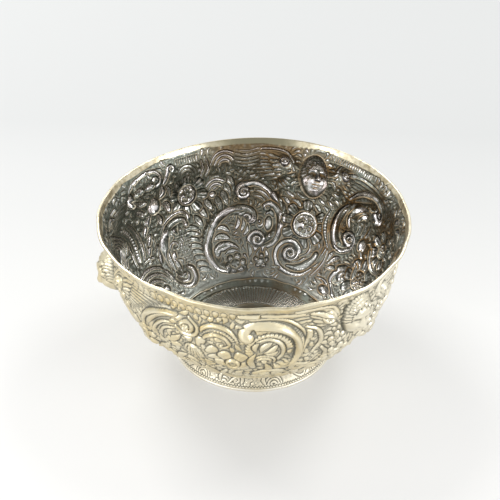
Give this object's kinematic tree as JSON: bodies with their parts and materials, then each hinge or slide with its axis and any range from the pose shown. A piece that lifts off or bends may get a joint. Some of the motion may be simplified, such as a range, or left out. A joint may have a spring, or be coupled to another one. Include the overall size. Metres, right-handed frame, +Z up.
{
  "type": "footed bowl",
  "caption": "Round embossed silver bowl with deep rounded sides, a plain turned-out lip, winged heads, scrolls and flowers in relief, on a low flaring foot.",
  "frame": {"origin": "middle of the bounding box at the level of the base, within 0.8 mm of the axis of the foot", "axes": "+Z up through the bowl, +Y to the back, where one winged head stands a little to the right as seen from the front, +X to the right"},
  "size_m": [0.1316, 0.1316, 0.0683],
  "materials": {
    "embossed_sheet": "old silver sheet, embossed and chased, with a dark patina left in the hollows",
    "chased_foot": "old silver sheet, chased, worn bright on the high parts",
    "plain_wire": "plain silver wire, worn smooth",
    "solder": "hard silver solder, dull and unpolished"
  },
  "bodies": {
    "root": {"bowl_body": "embossed_sheet", "foot_collar": "chased_foot", "foot_base_wire": "plain_wire", "upper_solder_seam": "solder", "lower_solder_seam": "solder"}
  },
  "joints": []
}
